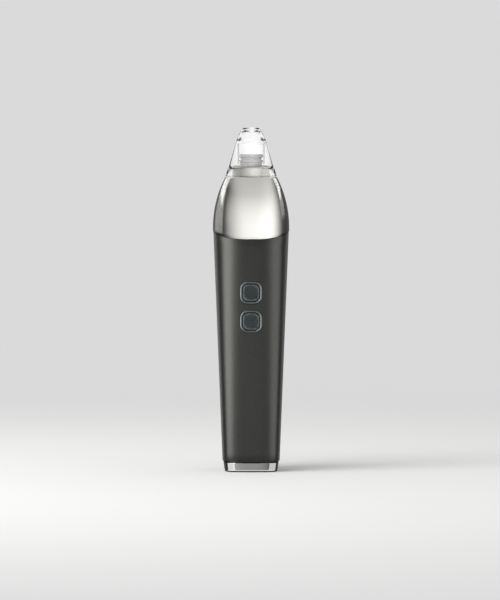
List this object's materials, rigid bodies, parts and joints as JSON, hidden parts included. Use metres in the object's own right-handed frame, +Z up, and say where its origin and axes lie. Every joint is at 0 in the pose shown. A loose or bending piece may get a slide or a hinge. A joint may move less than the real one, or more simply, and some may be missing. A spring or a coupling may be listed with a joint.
{
  "type": "pore vacuum",
  "caption": "Hand-held pore vacuum with a clear push-on suction tip, satin silver head, dark tapered body, push buttons and a bright foot ring, with its motor and pump inside.",
  "frame": {"origin": "middle of the underside, on the surface the tool stands on", "axes": "+Z up along the tool to the suction tip, front with the buttons towards -Y, +X to the viewer's right"},
  "size_m": [0.042, 0.042, 0.189],
  "materials": {
    "clear_tip": "clear polycarbonate, polished",
    "grey_silicone": "soft translucent grey silicone",
    "white_sponge": "open-cell white sponge",
    "satin_silver": "satin silver",
    "gunmetal_shell": "dark grey satin metallic paint on plastic",
    "button_grey": "dark grey satin",
    "bright_chrome": "mirror bright",
    "dark_plastic": "black fine texture",
    "black_plastic": "moulded black",
    "white_plastic": "moulded off-white",
    "steel": "plated steel",
    "brass": "turned",
    "magnet": "ferrite, ground",
    "black_rubber": "matt",
    "pale_silicone": "soft translucent",
    "circuit_board": "green solder mask",
    "battery_wrap": "blue film over a metal can",
    "red_wire": "insulated wire",
    "black_wire": "insulated wire"
  },
  "bodies": {
    "housing": {"nozzle_seal": "grey_silicone", "filter_sponge": "white_sponge", "neck_collar": "satin_silver", "inlet_spigot": "white_plastic", "head_cover": "satin_silver", "body_shell": "gunmetal_shell", "power_button_bezel": "bright_chrome", "level_button_bezel": "bright_chrome", "power_switch_body": "black_plastic", "level_switch_body": "black_plastic", "control_board": "circuit_board", "board_screw_upper": "steel", "board_screw_lower": "steel", "frame_front": "white_plastic", "frame_rear": "white_plastic", "frame_screw_1": "steel", "frame_screw_2": "steel", "frame_screw_3": "steel", "frame_screw_4": "steel", "motor_can": "steel", "motor_end_bell": "black_plastic", "motor_bush_upper": "brass", "motor_bush_lower": "brass", "motor_magnet_left": "magnet", "motor_magnet_right": "magnet", "pump_case": "black_plastic", "pump_diaphragm": "pale_silicone", "valve_plate": "black_plastic", "valve_flap": "pale_silicone", "pump_cover": "black_plastic", "pump_screw_1": "steel", "pump_screw_2": "steel", "pump_screw_3": "steel", "pump_mount_ring": "black_rubber", "inlet_hose": "pale_silicone", "battery_cell": "battery_wrap", "battery_tab_top": "steel", "battery_tab_bottom": "steel", "base_plate": "dark_plastic", "base_ring": "bright_chrome", "base_screw_left": "steel", "base_screw_right": "steel", "usb_socket": "steel", "usb_tongue": "black_plastic", "charge_board": "circuit_board", "motor_lead_red": "red_wire", "motor_lead_black": "black_wire", "battery_lead_red": "red_wire", "battery_lead_black": "black_wire", "charge_lead": "red_wire"},
    "tip": {"suction_tip": "clear_tip"},
    "power_key": {"power_button": "button_grey", "power_switch_plunger": "black_plastic"},
    "level_key": {"level_button": "button_grey", "level_switch_plunger": "black_plastic"},
    "rotor": {"motor_armature": "steel", "motor_shaft": "steel", "drive_eccentric": "brass"},
    "nodding_plate": {"wobble_plate": "white_plastic", "drive_pin": "steel"}
  },
  "joints": [
    {"name": "tip_pull", "type": "slide", "parent": "housing", "child": "tip", "axis": [0, 0, 1], "range_m": [0, 0.03]},
    {"name": "power_press", "type": "slide", "parent": "housing", "child": "power_key", "axis": [0, 0.9992, 0.0398], "range_m": [0, 0.0006], "stiffness_N_per_m": 1000, "springref_m": -0.0006},
    {"name": "level_press", "type": "slide", "parent": "housing", "child": "level_key", "axis": [0, 0.9992, 0.0398], "range_m": [0, 0.0006], "stiffness_N_per_m": 1000, "springref_m": -0.0006},
    {"name": "motor_spin", "type": "hinge", "parent": "housing", "child": "rotor", "pos_m": [0, 0, 0.0965], "axis": [0, 0, 1], "continuous": true, "deforming": ["pump_diaphragm"]},
    {"name": "wobble_nod", "type": "hinge", "parent": "rotor", "child": "nodding_plate", "pos_m": [0, 0, 0.1226], "axis": [0.1045, 0, 0.9945], "continuous": true}
  ],
  "couplings": [
    {"joint": "wobble_nod", "follows": "motor_spin", "ratio": -1}
  ]
}
